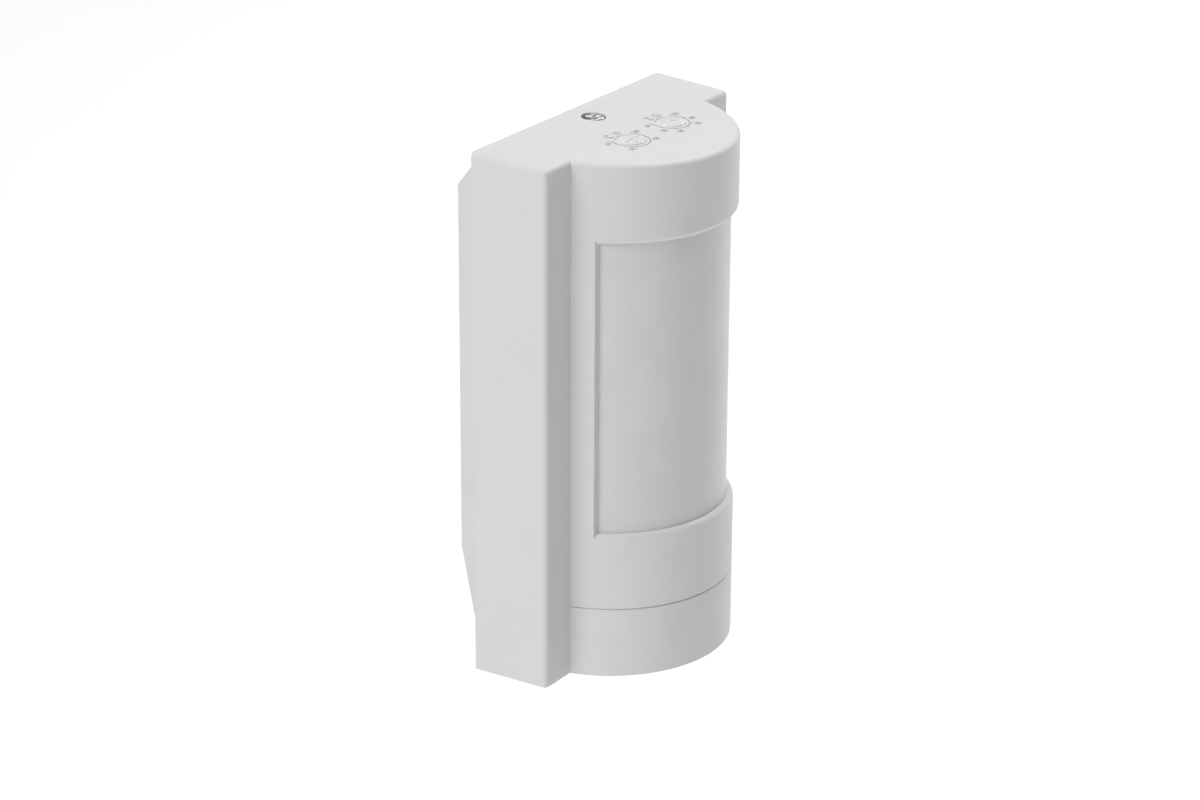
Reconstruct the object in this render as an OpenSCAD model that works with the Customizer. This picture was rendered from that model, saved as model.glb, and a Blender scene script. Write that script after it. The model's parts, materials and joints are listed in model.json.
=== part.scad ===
// Wall motion sensor: a shallow wall base and a front unit that hangs on two hooks at its lower
// edge, swings out to reach the terminals and is locked by one screw through its top.
// +Z is up, the front faces -Y, and the origin is the middle of the face that meets the wall.
// Inside the modules heights are counted from the bottom of the front cover.

/* [Front cover] */
// Width of the cover box
body_w = 78; // [74:0.5:84]
// Height of the cover at the wall side
body_h = 129.7; // [129:0.1:131]
// Depth of the cover box, without the half-round nose
box_d = 20.2; // [19.6:0.1:21]
// Radius of the half-round nose
nose_r = 29.4; // [29:0.1:30]
// Distance of the nose's axis in front of the cover's rear edge
nose_y = 12.9; // [12.5:0.1:13.2]
// Slope of the top, in degrees
top_slope = 3.1; // [2:0.1:4]
// Slope of the underside, in degrees
bottom_slope = 0.5; // [0:0.1:1]
// Wall thickness of the box
wall_t = 2.4; // [2.2:0.1:2.6]
// Wall thickness of the nose
nose_t = 1.7; // [1.5:0.1:1.9]
// Radius of the upright edges
edge_r = 1.2; // [1:0.1:2.2]

/* [Window and lens] */
// Lower edge of the lens window
window_lo = 36.8; // [36:0.1:38]
// Upper edge of the lens window
window_hi = 108.9; // [107:0.1:110]
// Depth of the window's side faces in front of the cover's rear edge
window_y = 25.5; // [25:0.1:26.5]
// Thickness of the lens sheet
lens_t = 0.6; // [0.5:0.05:0.7]
// Height of the seam above the lower cap
seam_z = 17.9; // [17:0.1:19]

/* [Wall base] */
// Depth that shows between the wall and the cover
base_d = 4; // [3.6:0.1:4.4]
// Lower end of the face that meets the wall
wall_lo = 31.3; // [30:0.1:33]
// Upper end of the face that meets the wall
wall_hi = 121.3; // [120.5:0.1:121.6]
// Lower end of the sloping foot
foot_z = 13; // [12.5:0.1:13.5]
// Upper end of the top chamfer
head_z = 126.2; // [126:0.1:126.4]
// Thickness of the base's floor
floor_t = 2.4; // [2.2:0.1:2.6]
// Height of the lower wall screw
wall_screw_z = 38; // [37:0.5:40]
// Distance between the two wall screws
wall_screw_gap = 72; // [70:1:74]
// Width of the wall screw slots
wall_slot_w = 4.6; // [4.2:0.1:5]
// Length of the wall screw slots
wall_slot_len = 9; // [8:0.5:10]

/* [Controls] */
// Sideways place of the locking screw
lock_x = 0.4; // [-1:0.1:1]
// Distance of the locking screw in front of the cover's rear edge
lock_y = 6.8; // [6.6:0.1:7]
// Sideways place of the light level dial
lux_x = -7.6; // [-8.2:0.1:-7.2]
// Sideways place of the delay time dial
time_x = 9.2; // [8.8:0.1:9.8]
// Distance of both dials in front of the cover's rear edge
dial_y = 22.5; // [22.2:0.1:22.8]
// Radius of a dial
dial_r = 3.5; // [3.3:0.05:3.6]
// Radius of the engraved scale around a dial
scale_r = 4.6; // [4.4:0.1:4.8]
// Turn of a dial from stop to stop, in degrees
dial_turn = 245; // [230:5:260]

/* [Hidden] */

$fn = 96;
eps = 0.01;
far = 60;

// Heights and depths worked out from the driving dimensions; depths are negative, in front of the wall
wall_mid = (wall_lo + wall_hi) / 2;
rear_y = -base_d;
front_y = rear_y - box_d;
axis_y = rear_y - nose_y;
lens_r = nose_r - nose_t;
inner_x = body_w / 2 - wall_t;
lens_half = 68;
clip_xs = [-14, 14];
function top_z(y) = body_h + (y + base_d) * tan(top_slope);
function bottom_z(y) = -(y + base_d) * tan(bottom_slope);

// Hinge between the base's hooks and the rear cover's pins
hinge_y = rear_y - 4.5;
hinge_z = 7;
pin_r = 1.5;
pin_gap = 0.06;
hook_r = 3.4;
hook_x = 24;
hook_w = 4;
ear_t = 2;
ear_gap = 0.5;
ear_r = 3.1;

// Base: plate, inner rim and lock tab
plate_w = body_w - 0.6;
rim_gap = 0.4;
rim_t = 1.8;
rim_y = rear_y - 5.5;
rim_lo = foot_z + 1.8;
tab_w = 16;
tab_y = rear_y - 10.5;
tab_lo = 122.6;
tab_slot_w = 3.6;
grommet_z = 56;
grommet_r = 8;

// Rear cover of the front unit, and the parts it holds
plate_y = rear_y - 9.2;
rear_t = 1.8;
pocket_w = 22;
pocket_z = 116;
pocket_y = rear_y - 13;
pocket_t = 1.4;
inner_hi = 126.4;
seal_t = 1.2;
boss_x = body_w / 2 - 6.5;
boss_zs = [14, 112];
post_x = 22.5;
post_zs = [22.5, 106];
pcb_y = rear_y - 15;
pcb_t = 1.6;
pcb_w = 57;
pcb_lo = 10;
pcb_hi = 125.2;
board = pcb_y - pcb_t;

// Terminals
pole_xs = [-13, 0, 13];
block_w = 42;
block_lo = 68;
block_hi = 92;
block_y = rear_y - 8.4;
peg_xs = [-18.6, 18.6];
peg_zs = [block_lo + 3, block_hi - 3];
screw_z = 75;
bar_y = -6.8;
bar_t = 0.8;
slot_w = 0.8;
cage_top = -8.6;
cage_low = -3;
blade_z = 84;
blade_h = 5;

// Locking screw and clamp nut
screw_y = rear_y - lock_y;
screw_r = 1.5;
head_r = 2.75;
recess_r = 2.95;
rim_r = 3.3;
rim_step = 0.12;
recess_z = top_z(screw_y) - 1.45;
nut_w = 5.5;
nut_t = 2.5;
nut_hi = tab_lo - 0.1;

// Dials
knob_y = rear_y - dial_y;
knob_z = top_z(knob_y) + 0.1;
pot_hi = 123.7;
pot_h = 6;
lux_marks = [0 : 3];
time_marks = [0 : 6];

module placed() translate([0, 0, -wall_mid]) children();

// A profile in the YZ plane, made w wide along X about x0
module side_slab(points, w, x0 = 0) {
  translate([x0 - w / 2, 0, 0]) rotate([90, 0, 90]) linear_extrude(w) polygon(points);
}

// A cylinder that runs along Y from y0 towards the wall to y1
module along_y(r, y0, y1) translate([0, y1, 0]) rotate([90, 0, 0]) cylinder(r = r, h = y1 - y0);

// A box given by its lowest and highest corners
module span(lo, hi) translate(lo) cube(hi - lo);

// Plan of the cover: the box with two rounded front edges, and the nose
module cover_plan() {
  half = body_w / 2;
  union() {
    translate([-half, front_y + edge_r]) square([body_w, box_d - edge_r]);
    translate([edge_r - half, front_y]) square([body_w - 2 * edge_r, box_d]);
    for (side = [-1, 1]) translate([side * (half - edge_r), front_y + edge_r]) circle(r = edge_r);
    translate([0, axis_y]) circle(r = nose_r);
  }
}

// Space between the sloping underside and top, t in from both
module cover_heights(t, w = 200) {
  side_slab([
    [0, bottom_z(0) + t], [-far, bottom_z(-far) + t], [-far, top_z(-far) - t], [0, top_z(0) - t]
  ], w);
}

// Everything in front of the box, from z0 to z1
module nose_space(z0, z1) span([-far, -far, z0], [far, front_y, z1]);

// Part of a ring about the nose's axis, half degrees to each side of the front
module nose_arc(r_in, r_out, half, z0, z1) {
  translate([0, axis_y, z0]) rotate([0, 0, -90 - half])
    rotate_extrude(angle = 2 * half) translate([r_in, 0]) square([r_out - r_in, z1 - z0]);
}

module cover_body() {
  intersection() {
    linear_extrude(body_h) cover_plan();
    cover_heights(0);
    span([-far, -far, 0], [far, rear_y, body_h]);
  }
}

module cover_cavity() {
  intersection() {
    cover_heights(wall_t);
    union() {
      span([-inner_x, front_y + wall_t, wall_t], [inner_x, 0, body_h]);
      intersection() {
        translate([0, axis_y, seam_z + 2]) cylinder(r = lens_r, h = body_h);
        span([-far, -far, 0], [far, front_y + 1, body_h]);
      }
      span([-25.4, front_y - 1, seam_z + 2], [25.4, front_y + wall_t + 1, body_h]);
    }
  }
}

module window_cut() {
  span([-far, -far, window_lo], [far, rear_y - window_y, window_hi]);
}

// Grooves of a dial's scale: an arc, and marks spread evenly along it
module scale_grooves(x, marks) {
  width = 0.28;
  depth = 0.3;
  last = marks[len(marks) - 1];
  start = 90 + (360 - dial_turn) / 2;
  translate([x, knob_y, top_z(knob_y) - depth]) rotate([top_slope, 0, 0]) {
    rotate([0, 0, start]) rotate_extrude(angle = dial_turn)
      translate([scale_r - width / 2, 0]) square([width, 1]);
    for (i = marks) rotate([0, 0, start + dial_turn * i / last])
      translate([scale_r, -width / 2, 0]) cube([0.9, width, 1]);
  }
}

module dial_hole(x) {
  translate([x, knob_y, pot_hi]) cylinder(r = dial_r + 0.08, h = 9);
}

module screw_boss(x, z) translate([x, 0, z]) along_y(3, front_y + 1, plate_y - rear_t);

module front_cover() {
  guide_x = nut_w / 2 + 0.15;
  color([0.93, 0.93, 0.92]) placed() difference() {
    union() {
      difference() {
        cover_body();
        cover_cavity();
        nose_space(-1, seam_z);
      }
      for (x = [-boss_x, boss_x], z = boss_zs) screw_boss(x, z);
      intersection() {
        translate([lock_x, screw_y, 126.6]) cylinder(r = 5, h = 3);
        cover_heights(0.5);
      }
      for (side = [0, 1]) translate([lock_x, 0, 0]) mirror([side, 0, 0])
        span([guide_x, tab_y - 2.4, 117.8], [guide_x + 1.2, tab_y - 0.4, 127]);
    }
    window_cut();
    for (x = [-boss_x, boss_x], z = boss_zs) translate([x, 0, z]) along_y(1.1, front_y + 2.4, 0);
    translate([lock_x, screw_y, recess_z]) cylinder(r = recess_r, h = 4);
    translate([lock_x, screw_y, top_z(screw_y) - rim_step]) cylinder(r = rim_r, h = 1);
    translate([lock_x, screw_y, 120]) cylinder(r = screw_r + 0.08, h = 10);
    for (x = [lux_x, time_x]) dial_hole(x);
    scale_grooves(lux_x, [for (i = lux_marks) i]);
    scale_grooves(time_x, [for (i = time_marks) i]);
    for (x = clip_xs) span([x - 2.2, front_y - 6, seam_z - 1], [x + 2.2, front_y - 4.4, seam_z + 3]);
  }
}

module lower_cap() {
  gap = 0.2;
  color([0.93, 0.93, 0.92]) placed() union() {
    difference() {
      intersection() {
        linear_extrude(seam_z - gap) translate([0, axis_y]) circle(r = nose_r);
        cover_heights(0);
        nose_space(-1, body_h);
      }
      translate([0, axis_y, 2.4]) cylinder(r = lens_r, h = seam_z);
    }
    for (x = clip_xs) {
      span([x - 2, front_y - 5.8, 2], [x + 2, front_y - 4.6, seam_z + 3.6]);
      span([x - 2, front_y - 4.7, seam_z + 2.1], [x + 2, front_y - 3.8, seam_z + 3.6]);
    }
  }
}

module lens() {
  color([0.9, 0.9, 0.88]) placed()
    nose_arc(lens_r - 0.05 - lens_t, lens_r - 0.05, lens_half, window_lo - 4, window_hi + 3.6);
}

module lens_frame() {
  r_out = lens_r - 0.1 - lens_t;
  color([0.25, 0.25, 0.26]) placed() difference() {
    nose_arc(r_out - 1.5, r_out, lens_half, window_lo - 6, window_hi + 5.4);
    nose_arc(r_out - 3, r_out + 1, lens_half - 8, window_lo + 2, window_hi - 2);
  }
}

module rear_cover() {
  lift = 0.2;
  half = inner_x - lift;
  ear_in = hook_w / 2 + ear_gap;
  plate_hi = top_z(plate_y - rear_t) - wall_t - lift;
  color([0.82, 0.82, 0.81]) placed() difference() {
    union() {
      span([-half, plate_y - rear_t, wall_t + lift], [half, plate_y, plate_hi]);
      span([-pocket_w / 2, pocket_y - pocket_t, pocket_z], [pocket_w / 2, plate_y, inner_hi]);
      for (x = [-post_x, post_x], z = post_zs) translate([x, 0, z]) along_y(2.6, pcb_y, plate_y - 1);
      for (side = [-1, 1], end = [-1, 1]) translate([side * hook_x, 0, 0]) {
        ear_x = end * (ear_in + ear_t / 2);
        ear_lo = ear_x - ear_t / 2;
        span([ear_lo, plate_y - 1, hinge_z - ear_r], [ear_lo + ear_t, hinge_y, hinge_z + ear_r]);
        translate([ear_lo, hinge_y, hinge_z]) rotate([0, 90, 0]) cylinder(r = ear_r, h = ear_t);
      }
      for (side = [-1, 1]) translate([side * hook_x - ear_in - 1, hinge_y, hinge_z])
        rotate([0, 90, 0]) cylinder(r = pin_r, h = 2 * ear_in + 2);
    }
    span([-pocket_w / 2 + pocket_t, pocket_y, pocket_z + pocket_t], [pocket_w / 2 - pocket_t, 0, body_h]);
    for (x = [-boss_x, boss_x], z = boss_zs) translate([x, 0, z]) along_y(1.6, front_y, 0);
    for (x = [-post_x, post_x], z = post_zs) translate([x, 0, z]) along_y(1, pcb_y - 1, plate_y - 1.2);
    for (x = pole_xs) span([x - 0.8, -far, blade_z - 0.4], [x + 0.8, 0, blade_z + blade_h + 0.4]);
  }
}

module unit_seal() {
  y0 = plate_y - rear_t - seal_t;
  color([0.2, 0.2, 0.2]) placed() difference() {
    span([-inner_x + 0.1, y0, wall_t + 0.2], [inner_x - 0.1, plate_y - rear_t, inner_hi]);
    span([-inner_x + 2, y0 - 1, wall_t + 2.1], [inner_x - 2, 0, 124.6]);
    span([-pocket_w / 2 - 0.1, y0 - 1, 110], [pocket_w / 2 + 0.1, 0, body_h]);
    for (x = [-boss_x, boss_x], z = boss_zs) translate([x, 0, z]) along_y(3.05, -far, 0);
  }
}

// A pan head screw along Y: head towards the wall side, tip towards the front
module pan_screw(r, r_head, h_head, len) {
  along_y(r, -len, 0);
  difference() {
    along_y(r_head, 0, h_head);
    for (turn = [0, 90]) rotate([0, turn, 0])
      span([-r_head * 0.6, h_head * 0.45, -slot_w / 2], [r_head * 0.6, h_head + 1, slot_w / 2]);
  }
}

module unit_screws() {
  color("silver") placed() for (x = [-boss_x, boss_x], z = boss_zs)
    translate([x, plate_y + 0.02, z]) pan_screw(1.05, 2.7, 1.8, 8.5);
}

module main_pcb() {
  color([0.1, 0.4, 0.2]) placed() difference() {
    span([-pcb_w / 2, board, pcb_lo], [pcb_w / 2, pcb_y - eps, pcb_hi]);
    for (x = [-post_x, post_x], z = post_zs) translate([x, 0, z]) along_y(1.3, -far, 0);
  }
}

module pcb_screws() {
  color("silver") placed() for (x = [-post_x, post_x], z = post_zs)
    translate([x, board - 0.02, z]) rotate([0, 0, 180]) pan_screw(0.95, 2.1, 1.5, 5.5);
}

// Something that stands on the front of the board
module on_board(x, z) translate([x, board - eps, z]) children();

module pyro_can() {
  color("silver") placed() on_board(0, (window_lo + window_hi) / 2) difference() {
    union() {
      along_y(4.6, -2.4, -1.6);
      along_y(4.15, -5.8, -2);
      for (turn = [0, 120, 240]) rotate([0, turn, 0]) translate([2.5, 0, 0]) along_y(0.23, -2, 2.6);
    }
    span([-2.05, -9, -1.55], [2.05, -5, 1.55]);
  }
}

module pyro_window() {
  color([0.12, 0.12, 0.15]) placed() on_board(0, (window_lo + window_hi) / 2)
    span([-2, -5.7, -1.5], [2, -5.05, 1.5]);
}

module pyro_shroud() {
  color([0.2, 0.2, 0.21]) placed() on_board(0, (window_lo + window_hi) / 2) difference() {
    union() {
      span([-9, -1.4, -9], [9, 0, 9]);
      along_y(6.6, -8, -0.5);
    }
    along_y(4.8, -20, 1);
  }
}

module relay() {
  color([0.15, 0.3, 0.6]) placed() on_board(-6.8, 22) union() {
    span([-6.3, -15.6, 0], [6.3, -0.4, 29]);
    for (x = [-3.7, 3.7], z = [4, 12, 25]) translate([x, 0, z]) along_y(0.5, -1, 2.6);
  }
}

module film_capacitor() {
  color([0.75, 0.6, 0.2]) placed() on_board(7.6, 22) union() {
    span([-4.2, -14.4, 0], [4.2, -0.3, 18]);
    for (z = [1.5, 16.5]) translate([0, 0, z]) along_y(0.4, -1, 2.6);
  }
}

module smoothing_capacitor() {
  color([0.12, 0.12, 0.14]) placed() on_board(13.6, 49) difference() {
    union() {
      along_y(5, -12.5, -0.3);
      for (x = [-1.25, 1.25]) translate([x, 0, 0]) along_y(0.3, -1, 2.6);
    }
    for (turn = [45, 135]) rotate([0, turn, 0]) span([-3.4, -13, -0.15], [3.4, -12.3, 0.15]);
  }
}

module fuse() {
  color([0.4, 0.25, 0.15]) placed() on_board(16.5, 30.5) union() {
    along_y(3.1, -7.5, -0.3);
    for (x = [-1.27, 1.27]) translate([x, 0, 0]) along_y(0.3, -1, 2.6);
  }
}

module choke() {
  color([0.25, 0.25, 0.27]) placed() on_board(-17.5, 42) union() {
    along_y(4, -1.6, -0.3);
    along_y(2.6, -7.5, -1);
    along_y(4, -9, -7.4);
    for (x = [-1.5, 1.5]) translate([x, 0, 0]) along_y(0.35, -1, 2.6);
  }
}

module varistor() {
  color([0.1, 0.25, 0.5]) placed() on_board(19.5, 39) union() {
    translate([-1.9, -4.6, 0]) rotate([0, 90, 0]) cylinder(r = 3.8, h = 3.8);
    for (z = [-2.5, 2.5]) translate([0, 0, z]) along_y(0.35, -2, 2.6);
  }
}

// A small-outline chip with pins along two sides
module chip(w, h, pins) {
  pitch = 1.27;
  last = pins / 2 - 1;
  span([-w / 2, -1.9, -h / 2], [w / 2, -0.3, h / 2]);
  for (side = [-1, 1], i = [0 : last])
    translate([side * (w / 2 + 0.4), 0, (i - last / 2) * pitch]) span([-0.6, -0.9, -0.2], [0.6, 0, 0.2]);
}

module controller_chip() {
  color([0.12, 0.12, 0.12]) placed() on_board(-17, 62) chip(5.2, 10, 14);
}

module amplifier_chip() {
  color([0.12, 0.12, 0.12]) placed() on_board(16, 64) chip(4, 8.6, 12);
}

module resistors() {
  color([0.75, 0.65, 0.5]) placed() {
    for (i = [0 : 4]) on_board(-22 + i * 3.4, 92) span([-0.65, -0.6, -1.2], [0.65, 0, 1.2]);
    for (i = [0 : 4]) on_board(9 + i * 3.4, 92) span([-0.65, -0.6, -1.2], [0.65, 0, 1.2]);
    for (z = [54, 58]) on_board(-1, z) span([-3, -2.4, -1.1], [3, 0, 1.1]);
  }
}

module light_sensor() {
  color([0.6, 0.25, 0.15]) placed() on_board(8, 100) union() {
    along_y(2.6, -4.5, -2.4);
    for (x = [-1.3, 1.3]) translate([x, 0, 0]) along_y(0.25, -3, 2.6);
  }
}

module walk_test_led() {
  color([0.8, 0.15, 0.12]) placed() on_board(-8, 100) union() {
    along_y(1.9, -3.4, -2.4);
    along_y(1.5, -6.4, -2.6);
    translate([0, -6.4, 0]) sphere(r = 1.5);
    for (x = [-0.8, 0.8]) translate([x, 0, 0]) along_y(0.25, -3, 2.6);
  }
}

// Rotary trimmer with its shaft upright; the dial's stem turns in its bore
module pot(x) {
  depth = 4.6;
  color([0.16, 0.32, 0.5]) placed() difference() {
    union() {
      span([x - 5, knob_y - depth, pot_hi - pot_h], [x + 5, board - eps, pot_hi]);
      for (dx = [-2.5, 0, 2.5])
        translate([x + dx, 0, pot_hi - pot_h + 1.5]) along_y(0.4, board - 1, pcb_y + 0.5);
    }
    translate([x, knob_y, pot_hi - 4.4]) cylinder(r = 1.58, h = 9);
  }
}

module lux_pot() pot(lux_x);

module time_pot() pot(time_x);

// Dial: stem, retaining flange, and a head with a cross slot and a pointer notch
module dial(x) {
  color([0.95, 0.95, 0.93]) placed() translate([x, knob_y, 0]) difference() {
    union() {
      translate([0, 0, pot_hi - 4]) cylinder(r = 1.5, h = 6);
      translate([0, 0, pot_hi + 0.2]) cylinder(r = 4.3, h = 0.8);
      translate([0, 0, pot_hi + 0.9]) cylinder(r = dial_r, h = knob_z - pot_hi - 0.9);
    }
    for (turn = [0, 90]) rotate([0, 0, turn]) span([-2.3, -0.4, knob_z - 0.9], [2.3, 0.4, knob_z + 1]);
    span([-0.3, -dial_r - 1, knob_z - 0.5], [0.3, -2.6, knob_z + 1]);
  }
}

module lux_dial() dial(lux_x);

module time_dial() dial(time_x);

module dial_seals() {
  color([0.2, 0.2, 0.2]) placed() for (x = [lux_x, time_x]) translate([x, knob_y, pot_hi + 1.2])
    difference() {
      cylinder(r = 4.8, h = 0.8);
      translate([0, 0, -1]) cylinder(r = dial_r + 0.15, h = 3);
    }
}

module blade_contacts() {
  color([0.85, 0.75, 0.4]) placed() for (x = pole_xs)
    span([x - 0.4, board - 1.2, blade_z], [x + 0.4, block_y + 6, blade_z + blade_h]);
}

// Pan head machine screw along Z with a cross recess, threaded through the clamp nut
module lock_screw() {
  head_h = 1.5;
  tip_z = 118;
  color([0.6, 0.6, 0.6]) placed() translate([lock_x, screw_y, 0]) difference() {
    union() {
      translate([0, 0, tip_z]) cylinder(r = screw_r, h = recess_z - tip_z + 0.5);
      translate([0, 0, recess_z + 0.05]) cylinder(r = head_r, h = head_h - 0.4);
      translate([0, 0, recess_z + head_h - 0.35]) cylinder(r1 = head_r, r2 = head_r - 0.6, h = 0.4);
    }
    for (turn = [0, 90]) rotate([0, 0, turn]) span([-1.5, -0.4, recess_z + 0.5], [1.5, 0.4, body_h + 2]);
  }
}

module clamp_nut() {
  color("silver") placed() translate([lock_x, 0, 0]) difference() {
    span([-nut_w / 2, tab_y - 2.1, nut_hi - nut_t], [nut_w / 2, screw_y + nut_w / 2, nut_hi]);
    translate([0, screw_y, 100]) cylinder(r = screw_r + 0.06, h = 40);
  }
}

// Open hook that carries one hinge pin of the front unit, which lifts out of it upwards
module hook(x) {
  seat = pin_r + pin_gap;
  lip = 1.2;
  mouth = [[seat, 0], [-seat, 0], [-seat, lip], [-9, lip], [-9, 9], [seat, 9]];
  difference() {
    union() {
      translate([x - hook_w / 2, hinge_y, hinge_z]) rotate([0, 90, 0]) cylinder(r = hook_r, h = hook_w);
      span([x - hook_w / 2, hinge_y + seat, hinge_z], [x + hook_w / 2, hinge_y + hook_r, rim_lo + 1]);
    }
    translate([x - hook_w, hinge_y, hinge_z]) rotate([0, 90, 0]) cylinder(r = seat, h = 2 * hook_w);
    translate([0, hinge_y, hinge_z]) side_slab(mouth, 2 * hook_w, x);
  }
}

module wall_slot(z) {
  r = wall_slot_w / 2;
  travel = (wall_slot_len - wall_slot_w) / 2;
  translate([0, 0, z]) union() {
    for (dz = [-travel, travel]) translate([0, 0, dz]) along_y(r, -8, 1);
    span([-r, -8, -travel], [r, 1, travel]);
  }
}

module back_plate() {
  rim_x = inner_x - rim_gap;
  pocket = [
    [-floor_t, wall_lo + 0.3], [-floor_t, wall_hi - 0.9], [rear_y - 1.7, head_z - rim_t],
    [-far, head_z - rim_t], [-far, rim_lo + rim_t], [rear_y - 1.6, rim_lo + rim_t]
  ];
  color([0.88, 0.88, 0.87]) placed() difference() {
    union() {
      difference() {
        union() {
          side_slab([[0, wall_lo], [0, wall_hi], [rear_y + 0.15, head_z], [rear_y + 0.15, foot_z]], plate_w);
          span([-rim_x, rim_y, rim_lo], [rim_x, rear_y + 0.5, head_z]);
        }
        side_slab(pocket, 2 * (rim_x - rim_t));
      }
      span([lock_x - tab_w / 2, tab_y, tab_lo], [lock_x + tab_w / 2, rim_y + 4, head_z]);
      for (x = [-hook_x, hook_x]) hook(x);
      for (x = peg_xs, z = peg_zs) translate([x, 0, z]) along_y(1.4, -4.4, -1);
      for (side = [-1, 1]) span([side * 30 - 0.8, -5.4, 34], [side * 30 + 0.8, -1.5, 118]);
    }
    for (z = [wall_screw_z, wall_screw_z + wall_screw_gap]) wall_slot(z);
    translate([0, 0, grommet_z]) along_y(grommet_r, -8, 1);
    span([lock_x - tab_slot_w / 2, -far, tab_lo - 1], [lock_x + tab_slot_w / 2, screw_y, head_z + 1]);
    translate([lock_x, screw_y, tab_lo - 1]) cylinder(r = tab_slot_w / 2, h = 6);
  }
}

// Rubber bush with a flange on each side of the floor and a hole for the cable
module cable_grommet() {
  hole_r = 3.6;
  color([0.2, 0.2, 0.2]) placed() translate([0, 0, grommet_z]) difference() {
    union() {
      along_y(grommet_r, -floor_t, -0.4);
      along_y(grommet_r + 2, -floor_t - 1.8, -floor_t - 0.02);
      along_y(grommet_r - 2, -floor_t - 4, -1);
    }
    along_y(hole_r, -floor_t - 9, 1);
  }
}

module terminal_block() {
  color([0.75, 0.76, 0.78]) placed() difference() {
    span([-block_w / 2, block_y, block_lo], [block_w / 2, -floor_t - 0.05, block_hi]);
    for (x = peg_xs, z = peg_zs) translate([x, 0, z]) along_y(1.5, -4.6, 0);
    for (x = pole_xs) translate([x, 0, 0]) {
      span([-3.3, -10, screw_z - 3.7], [3.3, 0, screw_z + 3.7]);
      translate([0, 0, screw_z]) along_y(2.9, -20, -10.6);
      translate([0, 0, screw_z]) along_y(1.6, -20, -9);
      span([-2, bar_y - 0.02, screw_z - 4.5], [2, bar_y + bar_t + 0.02, blade_z + blade_h + 1]);
      translate([0, -4.7, block_lo - 1]) cylinder(r = 1.5, h = 6);
      span([-1.3, block_y - 1, blade_z - 1.6], [1.3, -3.4, blade_z + blade_h + 1.2]);
    }
  }
}

// Contact bars: each runs through a cage and ends in a fork that takes the front unit's blade
module terminal_bars() {
  color([0.85, 0.75, 0.4]) placed() for (x = pole_xs) translate([x, 0, 0]) difference() {
    span([-1.9, bar_y, screw_z - 4.4], [1.9, bar_y + bar_t, blade_z + blade_h + 0.9]);
    span([-0.55, -20, blade_z - 1.6], [0.55, 0, blade_z + blade_h + 2]);
  }
}

module terminal_screw(x) {
  color("silver") placed() translate([x, 0, screw_z]) difference() {
    union() {
      along_y(1.5, -10.7, -6.9);
      along_y(2.6, -12.2, -10.7);
    }
    span([-3, -13, -0.4], [3, -11.5, 0.4]);
  }
}

module terminal_screw_1() terminal_screw(pole_xs[0]);

module terminal_screw_2() terminal_screw(pole_xs[1]);

module terminal_screw_3() terminal_screw(pole_xs[2]);

// Cage that the screw draws forwards, so that it pulls the wire against the contact bar
module terminal_cage(x) {
  color([0.8, 0.78, 0.7]) placed() translate([x, 0, screw_z]) difference() {
    span([-3, cage_top, -3.4], [3, cage_low, 3.4]);
    span([-2.2, cage_top + 1.4, -4], [2.2, cage_low - 0.8, 4]);
    along_y(1.56, -20, -6);
  }
}

module terminal_cage_1() terminal_cage(pole_xs[0]);

module terminal_cage_2() terminal_cage(pole_xs[1]);

module terminal_cage_3() terminal_cage(pole_xs[2]);

back_plate();
terminal_block();
terminal_bars();
cable_grommet();
terminal_screw_1();
terminal_screw_2();
terminal_screw_3();
terminal_cage_1();
terminal_cage_2();
terminal_cage_3();
front_cover();
lower_cap();
lens();
lens_frame();
rear_cover();
unit_seal();
unit_screws();
main_pcb();
pcb_screws();
pyro_can();
pyro_window();
pyro_shroud();
relay();
film_capacitor();
smoothing_capacitor();
fuse();
choke();
varistor();
controller_chip();
amplifier_chip();
resistors();
light_sensor();
walk_test_led();
lux_pot();
time_pot();
dial_seals();
blade_contacts();
lux_dial();
time_dial();
lock_screw();
clamp_nut();
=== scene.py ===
"""Looks of the wall motion sensor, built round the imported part. Metres, in the part's own frame:
+Z up, the lens faces -Y, and the wall is the plane y = 0."""

import json
import math

import bmesh
import bpy
from mathutils import Matrix, Vector


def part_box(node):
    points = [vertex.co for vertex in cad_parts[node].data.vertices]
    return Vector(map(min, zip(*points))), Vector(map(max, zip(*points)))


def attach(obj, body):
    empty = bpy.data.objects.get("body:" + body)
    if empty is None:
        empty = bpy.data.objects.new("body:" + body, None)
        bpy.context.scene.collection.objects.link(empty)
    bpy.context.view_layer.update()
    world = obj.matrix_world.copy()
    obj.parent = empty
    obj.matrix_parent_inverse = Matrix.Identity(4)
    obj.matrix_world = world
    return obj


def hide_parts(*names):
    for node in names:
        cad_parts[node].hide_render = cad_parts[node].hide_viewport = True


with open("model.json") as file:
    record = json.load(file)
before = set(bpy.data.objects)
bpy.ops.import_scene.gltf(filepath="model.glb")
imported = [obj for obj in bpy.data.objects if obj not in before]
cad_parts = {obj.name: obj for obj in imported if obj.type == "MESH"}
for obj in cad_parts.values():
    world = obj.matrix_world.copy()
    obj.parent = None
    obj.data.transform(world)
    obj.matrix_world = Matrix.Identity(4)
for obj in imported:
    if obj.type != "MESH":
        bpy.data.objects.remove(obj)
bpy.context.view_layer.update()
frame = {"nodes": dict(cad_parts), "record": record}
MM = 0.001

# ---------------------------------------------------------------- sizes worked out from the frame
cover_lo, cover_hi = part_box("front_cover")
cap_lo, cap_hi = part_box("lower_cap")
lens_lo, lens_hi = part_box("lens")
REAR = cover_hi.y
HALF_W = cover_hi.x
FRONT = cap_hi.y
BOTTOM = cover_lo.z
TOP = cover_hi.z
NOSE_DEPTH = FRONT - cap_lo.y
NOSE_R = (cap_hi.x ** 2 + NOSE_DEPTH ** 2) / (2 * NOSE_DEPTH)
AXIS_Y = cap_lo.y + NOSE_R
LENS_R = AXIS_Y - lens_lo.y + 0.04 * MM

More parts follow.
